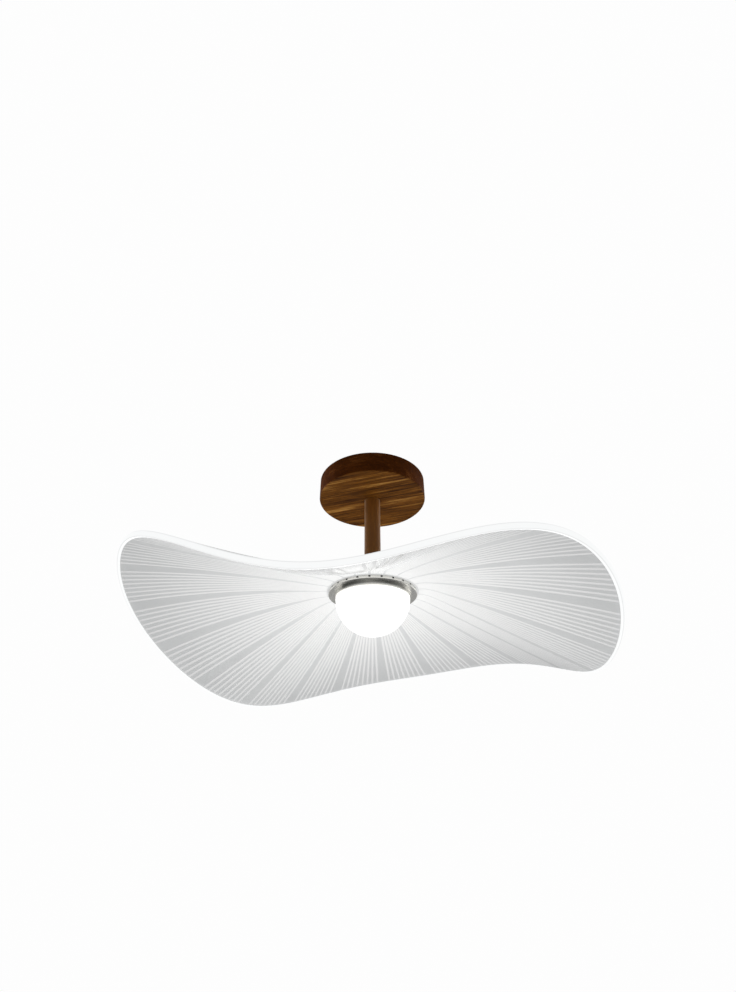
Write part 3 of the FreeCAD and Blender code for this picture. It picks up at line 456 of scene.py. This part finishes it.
# %% Nickel, steel, aluminium and brass
METAL_STAINS = 45.0
STAIN_SHARE = 0.15
STAIN_TONE = 0.8
BRUSH_DEPTH = 0.00001
NICKEL_PIECES = ("trim_ring", "vent_collar", "upper_housing")
STEEL_PIECES = ("bridge_screws", "lamp_pipe", "pipe_nut", "stem_washer", "wave_washer", "stop_washer",
                "swivel_nut", "small_screws", "earth_screw", "canopy_set_screws", "stop_pin", "drum_screws",
                "board_screws")
METALS = (                   # finish, colour, roughness, lines round the axis or straight, pieces
    ("brushed_nickel", (0.80, 0.79, 0.75), 0.24, 1.0, NICKEL_PIECES),
    ("zinc_plate", (0.56, 0.57, 0.58), 0.38, 0.0, ("ceiling_plate", "stem_bridge")),
    ("steel_turned", (0.50, 0.50, 0.51), 0.32, 1.0, STEEL_PIECES),
    ("aluminium_turned", (0.72, 0.72, 0.73), 0.30, 1.0, ("led_drum", "lock_ring")),
    ("brass_turned", (0.72, 0.50, 0.20), 0.28, 1.0, ("canopy_inserts", "terminal_screws")),
)


def brushed_metal(name, colour, rough, turned):
    finish = Finish(name, Metallic=1.0)
    lines = finish.group(brushing_group, Place=finish.place, Turned=turned)
    stains = finish.group(mottle_group, Place=finish.place, Size=METAL_STAINS)
    darker = tuple(STAIN_TONE * c for c in colour)
    streaked = finish.tree.mix(lines["Streaks"], darker, colour)
    stained = finish.tree.math("MULTIPLY", stains["Mask"], STAIN_SHARE)
    finish.feed("Base Color", finish.tree.mix(stained, streaked, darker))
    finish.feed("Roughness", finish.tree.spread(lines["Streaks"], 0.0, 1.0, rough + 0.08, rough - 0.06))
    finish.bump(lines["Height"], BRUSH_DEPTH)
    return finish.material


for name, colour, rough, turned, pieces in METALS:
    dress(brushed_metal(name, colour, rough, turned), *pieces)

nickel_collection = bpy.data.collections.new("nickel_pieces")
for name in NICKEL_PIECES:
    nickel_collection.objects.link(nodes[name])
panel_back = soft_panel("panel_back", (0.0, 2.0, -0.95), size=2.4, power=6.0)
panel_back.light_linking.receiver_collection = nickel_collection
print("metals:", [row[0] for row in METALS])

# %% [markdown]
# Moulded plastic, silicone, foam, circuit boards and wire insulation differ in colour and gloss, but all show
# a faint mottling. Each could have a group of its own, but one function makes them all from the shared one,
# each with its own numbers.

# %% Plastics, rubber, boards and wires
MARK_TONE = 0.808            # the darker of the two colours, as a share of the lighter
MOULDINGS = (                # finish, colour, roughness, marks per metre, their depth, pieces
    ("white_moulding", (0.80, 0.80, 0.78), 0.45, 120.0, 0.00006, ("driver_case", "driver_cover")),
    ("pin_ring_moulding", (0.82, 0.82, 0.80), 0.40, 150.0, 0.00004, ("dome_pins_ring",)),
    ("natural_nylon", (0.78, 0.76, 0.68), 0.42, 140.0, 0.00005,
     ("thrust_washer", "terminal_block", "lead_socket")),
    # black foam behind the collar's slots: a real light seal, and painted shade that makes the slots read
    # black
    ("black_foam_and_shade", (0.012, 0.012, 0.012), 0.9, 400.0, 0.0003, ("light_seal",)),
    ("clear_silicone", (0.75, 0.77, 0.76), 0.35, 90.0, 0.00005, ("shade_gasket", "dome_gasket")),
    ("green_board", (0.02, 0.16, 0.06), 0.40, 200.0, 0.00004, ("driver_board",)),
    ("white_board", (0.86, 0.86, 0.85), 0.35, 200.0, 0.00003, ("led_board", "led_strip")),
    ("brown_insulation", (0.16, 0.06, 0.02), 0.40, 150.0, 0.00004, ("line_lead",)),
    ("blue_insulation", (0.02, 0.09, 0.42), 0.40, 150.0, 0.00004, ("neutral_lead",)),
    ("white_sheath", (0.80, 0.80, 0.79), 0.45, 150.0, 0.00004, ("lamp_lead", "board_leads", "strip_leads")),
)


def moulded(name, colour, rough, size, depth, **plain):
    finish = Finish(name, **plain)
    deeper = tuple(MARK_TONE * c for c in colour)
    marks = finish.mottled(size, (deeper, colour), (rough + 0.08, rough - 0.05))
    finish.bump(marks["Height"], depth)
    return finish.material


for name, colour, rough, size, depth, pieces in MOULDINGS:
    dress(moulded(name, colour, rough, size, depth), *pieces)
print("mouldings:", [row[0] for row in MOULDINGS])

# %% [markdown]
# Two small finishes don't fit that table. The LEDs are yellow phosphor that glows white, and the earth lead
# has the yellow and green stripes that every earth lead has, made by a banded wave across its length.

# %% LEDs and earth lead
LED_GLOW = (1.0, 0.97, 0.90, 1.0)
STRIPE_SCALE = 90.0
EARTH_YELLOW = (0.62, 0.56, 0.03)
EARTH_GREEN = (0.03, 0.25, 0.05)

dress(moulded("lit_phosphor", (0.90, 0.80, 0.35), 0.35, 300.0, 0.00003,
              Emission_Color=LED_GLOW, Emission_Strength=2.0), "strip_leds", "board_leds")

earth = Finish("earth_insulation", Roughness=0.42)
stripe = earth.tree.add("ShaderNodeTexWave", wave_type="BANDS", bands_direction="DIAGONAL")
stripe.inputs["Scale"].default_value = STRIPE_SCALE
earth.tree.join(earth.place, stripe.inputs["Vector"])
banded = earth.tree.spread(stripe.outputs["Fac"], 0.45, 0.55)
earth.feed("Base Color", earth.tree.mix(banded, EARTH_YELLOW, EARTH_GREEN))
dress(earth.material, "earth_lead")
print("undressed:", [n for n, o in nodes.items() if not o.data.materials and n not in ("shade", "dome")])

# %% [markdown]
# The shade is an acrylic sheet, warmed and formed into waves. A height field over a circle would do for the
# waves, but a real sheet keeps its length along each radius, so the edge draws in where it falls further.
# The same rule as in the solid model gives the underside here, and the sheet's thickness stands on it.

# %% The sheet's form
SHEET_R = 0.2555
SHEET_T = 0.005
FLAT_R = 0.054
HOLE_R = 0.0378
DISC_SHIFT = 0.005
DISC_SHIFT_AZIMUTH = 207.0
FALL = 0.0526
BEND = 0.05
EDGE_WAVES = (               # lobes, height in metres, azimuth of a crest
    (1, 0.0072, 170.0),
    (2, 0.0157, 41.0),
    (3, 0.0242, -48.0),
    (4, 0.0080, 32.5),
    (5, 0.0029, 20.5),
    (6, 0.0018, -18.0),
)
BULGE_WAVES = ((2, 0.003, -14.0), (3, 0.0029, -56.0))
SMALL_RUN = 1e-5
SMALL_TURN = 0.01
sheet_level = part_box("vent_collar")[1].z


def waves(rows, azimuth):
    return sum(height * math.cos(math.radians(lobes * (azimuth - crest))) for lobes, height, crest in rows)


def slope_share(s):
    return (math.hypot(s, BEND) - BEND) / (math.hypot(1.0, BEND) - BEND)


def underside(run, azimuth):
    """A point under the sheet, at a run along the sheet from the middle of an even disc."""
    angle = math.radians(azimuth)
    s = max((run - FLAT_R) / (SHEET_R - FLAT_R), 0.0)
    length = SHEET_R + DISC_SHIFT * math.cos(angle - math.radians(DISC_SHIFT_AZIMUTH)) - FLAT_R
    edge_wave = waves(EDGE_WAVES, azimuth)
    radius = min(run, FLAT_R) + s * math.sqrt(length ** 2 - (FALL - edge_wave) ** 2)
    share = slope_share(s)
    bulge = 4 * share * (1 - share) * waves(BULGE_WAVES, azimuth)
    z = sheet_level - (FALL - edge_wave) * share + bulge
    return Vector((radius * math.cos(angle), radius * math.sin(angle), z))


def upward(run, azimuth):
    along = underside(run + SMALL_RUN, azimuth) - underside(run - SMALL_RUN, azimuth)
    around = underside(run, azimuth + SMALL_TURN) - underside(run, azimuth - SMALL_TURN)
    return along.cross(around).normalized()


# %% [markdown]
# The lines are cut into the underside as shallow V grooves of one width, in groups with a plain gap between
# them. A bump map would give them no edges and no light of their own, so each groove is real: three columns
# of points, its two edges and its bottom. The columns keep the groove's width at every radius, which is why
# the lines crowd together and turn white near the ring.

# %% Columns and rings of points
GROUPS = 22
LINES = 8
FIRST_GAP = 4.1              # azimuth in the middle of one plain gap
LINE_STEP = 1.75             # degrees from line to line
LINE_W = 0.0027
HALF_LINE_SHARE = 0.36       # the most that half a line takes of the step between lines
LINE_START = 0.0512
LINE_END = 0.2525
LINE_RAMP = 0.0010
BAND_START = 0.2528          # clear band outside the lines, lit from the edge
EDGE_ROUND = 0.0006
FLAT_RUNS = (HOLE_R, 0.044, 0.0500)
BEND_RUNS = (FLAT_R, 0.0560, 0.0580, 0.0605, 0.0635, 0.0670, 0.0715, 0.0770, 0.0840)
EVEN_START = 0.0920
EVEN_STEP = 0.0083
EVEN_RUNS = 19

group_step = 360.0 / GROUPS
first_line = (group_step - LINE_STEP * (LINES - 1)) / 2
columns = []                 # azimuth, side of the groove (-1, 1), 0 for its bottom, None on plain sheet
for group in range(GROUPS):
    gap = FIRST_GAP + group * group_step
    columns.append((gap, None))
    for line in range(LINES):
        columns += [(gap + first_line + line * LINE_STEP, side) for side in (-1, 0, 1)]

runs = [*FLAT_RUNS, LINE_START, LINE_START + LINE_RAMP, *BEND_RUNS]
runs += [EVEN_START + EVEN_STEP * i for i in range(EVEN_RUNS)]
runs += [LINE_END - LINE_RAMP, LINE_END, BAND_START, SHEET_R - EDGE_ROUND]
first_cut = runs.index(LINE_START)
last_cut = runs.index(LINE_END)


def column_azimuth(column, run):
    azimuth, side = column
    if not side:
        return azimuth
    half = min(LINE_W / 2, HALF_LINE_SHARE * math.radians(LINE_STEP) * run)
    return azimuth + side * math.degrees(half / run)


print("columns:", len(columns), "rings under the sheet:", len(runs), "lines:", GROUPS * LINES)

# %% [markdown]
# Now the points become a closed sheet: rings along the underside, two rings round the edge, and the same
# rings back over the top. A flat sheet thickened by a modifier would be quicker, but would cut the grooves
# into the top as well. Each ring is joined to the next, with the faces wound so that their normals point out
# of the sheet, because a sheet that is inside out bends light the wrong way. Each face notes its finish.

# %% The engraved sheet
LINE_DEPTH = 0.0005
SHEET_SHARP = 15.0           # degrees
PLAIN, ENGRAVED, RIM, RIM_EDGE, THROUGH, UPPER = range(6)


def shade_smooth(piece, sharp):
    piece.data.polygons.foreach_set("use_smooth", [True] * len(piece.data.polygons))
    piece.data.set_sharp_from_angle(angle=math.radians(sharp))


points = []
for index, run in enumerate(runs):
    for column in columns:
        azimuth = column_azimuth(column, run)
        cut = LINE_DEPTH if column[1] == 0 and first_cut < index < last_cut else 0.0
        points.append(underside(run, azimuth) + upward(run, azimuth) * cut)
under_rings = len(runs)
edge_rings = [(SHEET_R, EDGE_ROUND), (SHEET_R, SHEET_T - EDGE_ROUND)]
upper_rings = [(run, SHEET_T) for run in reversed(runs)]
for run, height in edge_rings + upper_rings:
    for column in columns:
        azimuth = column_azimuth(column, run)
        points.append(underside(run, azimuth) + upward(run, azimuth) * height)

count = len(columns)
rings = len(points) // count
edge_finish = {under_rings + step: RIM if step % 2 == 0 else RIM_EDGE for step in (-2, -1, 0, 1, 2)}
faces = []
face_finish = []
for ring in range(rings):
    follow = (ring + 1) % rings
    plain_finish, cut_finish = (PLAIN, ENGRAVED) if ring < under_rings else (UPPER, THROUGH)
    depth_ring = ring if ring < under_rings else rings - 2 - ring
    for i in range(count):
        j = (i + 1) % count
        faces.append((ring * count + j, follow * count + j, follow * count + i, ring * count + i))
        grooved = columns[i][1] in (-1, 0) and first_cut <= depth_ring < last_cut
        face_finish.append(cut_finish if grooved else edge_finish.get(ring, plain_finish))
sheet = mesh_object("engraved_shade", points, faces)
shade_smooth(sheet, SHEET_SHARP)
print("sheet:", len(points), "points,", len(faces), "faces")

# %% [markdown]
# Light from the strip inside the hole runs through the sheet and leaves it at the grooves and at the polished
# edge. Tracing that would need many bounces, so the sheet glows by itself, less the further from the strip:
# strongly at the grooves, the edge and a narrow band beside it, and a little on the plain sheet, which is
# slightly cloudy. The fade is a group, because every finish of the sheet uses it.
#
# The top has finishes of its own, with the lines showing through. Seen from inside the sheet they are as dim
# as plain sheet, or they would show twice from below, and a Geometry node's Backfacing tells which side is
# seen.

# %% Fading light
light_group, tree, given, put = new_group(
    "fading_light",
    [("Place", VECTOR), ("Near", COLOUR), ("Far", COLOUR)],
    [("Light", COLOUR)],
)
from_axis = tree.add("ShaderNodeVectorMath", operation="LENGTH")
tree.join(tree.stretch(given["Place"], (1.0, 1.0, 0.0)), from_axis.inputs[0])
fade = tree.spread(from_axis.outputs["Value"], FLAT_R, SHEET_R)
tree.join(tree.mix(fade, given["Near"], given["Far"]), put["Light"])


def sheet_light(finish, near, far, from_inside=None):
    """Light that fades away from the axis, and may be dimmer where the sheet is seen from inside."""
    light = finish.group(light_group, Place=finish.place, Near=near, Far=far)["Light"]
    if from_inside:
        near, far = from_inside
        dim = finish.group(light_group, Place=finish.place, Near=near, Far=far)["Light"]
        inside = finish.tree.add("ShaderNodeNewGeometry").outputs["Backfacing"]
        light = finish.tree.mix(inside, light, dim)
    finish.feed("Emission Color", light)


print("group:", light_group.name, "with", len(light_group.nodes), "nodes")

# %% [markdown]
# The plain sheet, its top and the lines that show through are one acrylic with different glows, and the
# grooves and the edge have finishes of their own. Clear glass would be simpler, but a lit sheet of this kind
# looks cloudy, so only a part of the light goes straight through. The sheet would mirror the side panels as
# white patches, so they are linked to everything but the sheet.

# %% Acrylic finishes
CLOUDY = ((0.74, 0.75, 0.75), (0.78, 0.79, 0.79))
CLOUD_MARKS = 25.0
LINE_MARKS = 900.0
RIM_MARKS = 60.0
SHEET_DULL = 0.16
LINE_DULL = 0.20
CLEAR_GLOW = 0.40
CLEAR_NEAR = 0.80
CLEAR_FAR = 0.33
UPPER_FAR = 0.78
THROUGH_GLOW = 0.66
THROUGH_FAR = 0.70
ENGRAVED_GLOW = 0.90
ENGRAVED_FAR = 0.64
RIM_GLOW = 0.94
RIM_EDGE_GLOW = 0.80


def acrylic(name, strength, marks_size, dull, near, far, from_inside=None):
    finish = Finish(name, Transmission_Weight=0.2, IOR=1.49, Specular_IOR_Level=0.02,
                    Emission_Strength=strength)
    finish.mottled(marks_size, CLOUDY, (dull + 0.04, dull - 0.04))
    sheet_light(finish, grey(near), grey(far), from_inside)
    return finish


def rim_glow(name, strength):
    finish = Finish(name, Emission_Strength=strength)
    finish.mottled(RIM_MARKS, (grey(0.16), grey(0.22)), (0.28, 0.12))
    sheet_light(finish, grey(1.0), (0.97, 0.98, 0.98))
    return finish


inside_share = CLEAR_GLOW / THROUGH_GLOW
clear = acrylic("clear_acrylic", CLEAR_GLOW, CLOUD_MARKS, SHEET_DULL, CLEAR_NEAR, CLEAR_FAR)
upper = acrylic("upper_acrylic", CLEAR_GLOW, CLOUD_MARKS, SHEET_DULL, 1.0, UPPER_FAR,
                (grey(CLEAR_NEAR), grey(CLEAR_FAR)))
through = acrylic("lines_through_acrylic", THROUGH_GLOW, LINE_MARKS, LINE_DULL, 1.0, THROUGH_FAR,
                  (grey(inside_share * CLEAR_NEAR), grey(inside_share * CLEAR_FAR)))
engraved = Finish("engraved_glow", Emission_Strength=ENGRAVED_GLOW, Specular_IOR_Level=0.2)
engraved.mottled(LINE_MARKS, (grey(0.13), grey(0.17)), (0.75, 0.5))
sheet_light(engraved, (1.0, 1.0, 0.99), grey(ENGRAVED_FAR))
rim = rim_glow("rim_glow", RIM_GLOW)
rim_edge = rim_glow("rim_edge_glow", RIM_EDGE_GLOW)

for finish in (clear, engraved, rim, rim_edge, through, upper):
    finish.material.cycles.emission_sampling = "NONE"     # a broad, dim glow is less noisy found by chance
    sheet.data.materials.append(finish.material)
sheet.data.polygons.foreach_set("material_index", face_finish)
sheet_collection = bpy.data.collections.new("polished_sheet")
sheet_collection.objects.link(sheet)
sheet_collection.collection_objects[0].light_linking.link_state = "EXCLUDE"
for panel in side_panels:
    panel.light_linking.receiver_collection = sheet_collection
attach(sheet, "lamp_head")
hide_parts("shade")
print("shade finishes:", [m.name for m in sheet.data.materials])

# %% [markdown]
# The dome is blown opal acrylic, evenly white because its light is scattered in the wall. A sphere primitive
# would do for the outside only, so its wall is turned from a profile: the neck that sits in the ring, the
# bowl, and the same again inside.

# %% Opal dome
DOME_R = 0.041
DOME_T = 0.003
DOME_LIP = 0.0006
DOME_SEGMENTS = 128
DOME_SHARP = 40.0            # degrees
BOWL_STEPS = 28
OPAL_MARKS = 35.0

dome_low, dome_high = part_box("dome")
bowl_level = dome_low.z + DOME_R


def dome_profile(radius, slant):
    """One face of the wall from the lip down: the neck, then the bowl without its pole."""
    rows = [(radius + slant, dome_high.z), (radius, dome_high.z - DOME_LIP), (radius, bowl_level)]
    for step in range(1, BOWL_STEPS):
        angle = math.pi / 2 * step / BOWL_STEPS
        rows.append((radius * math.cos(angle), bowl_level - radius * math.sin(angle)))
    return rows


def turned_wall(outer, inner, outer_pole, inner_pole):
    """Points and faces of a wall turned about the axis, closed at two poles."""
    path = list(reversed(outer)) + inner
    made = [Vector((0.0, 0.0, outer_pole)), Vector((0.0, 0.0, inner_pole))]
    for radius, z in path:
        for i in range(DOME_SEGMENTS):
            angle = 2 * math.pi * i / DOME_SEGMENTS
            made.append(Vector((radius * math.cos(angle), radius * math.sin(angle), z)))
    skin = []
    last = 2 + (len(path) - 1) * DOME_SEGMENTS
    for i in range(DOME_SEGMENTS):
        j = (i + 1) % DOME_SEGMENTS
        skin.append((0, 2 + j, 2 + i))
        skin.append((1, last + i, last + j))
        for step in range(len(path) - 1):
            a = 2 + step * DOME_SEGMENTS
            b = a + DOME_SEGMENTS
            skin.append((a + i, a + j, b + j, b + i))
    return made, skin


outside = dome_profile(DOME_R, -DOME_LIP)
inside = dome_profile(DOME_R - DOME_T, DOME_LIP)
points, faces = turned_wall(outside, inside, dome_low.z, dome_low.z + DOME_T)
dome = mesh_object("opal_dome", points, faces)
shade_smooth(dome, DOME_SHARP)

opal = Finish("opal_glow", Emission_Strength=0.95, Coat_Weight=0.3, Coat_Roughness=0.08)
marks = opal.mottled(OPAL_MARKS, ((0.90, 0.90, 0.89), (0.95, 0.95, 0.94)), (0.32, 0.22))
opal.feed("Emission Color", opal.tree.mix(marks["Mask"], (0.97, 0.97, 0.96), (1.0, 1.0, 0.99)))
dome.data.materials.append(opal.material)
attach(dome, "opal_dome")
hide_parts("dome")
print("dome:", len(points), "points")

# %% [markdown]
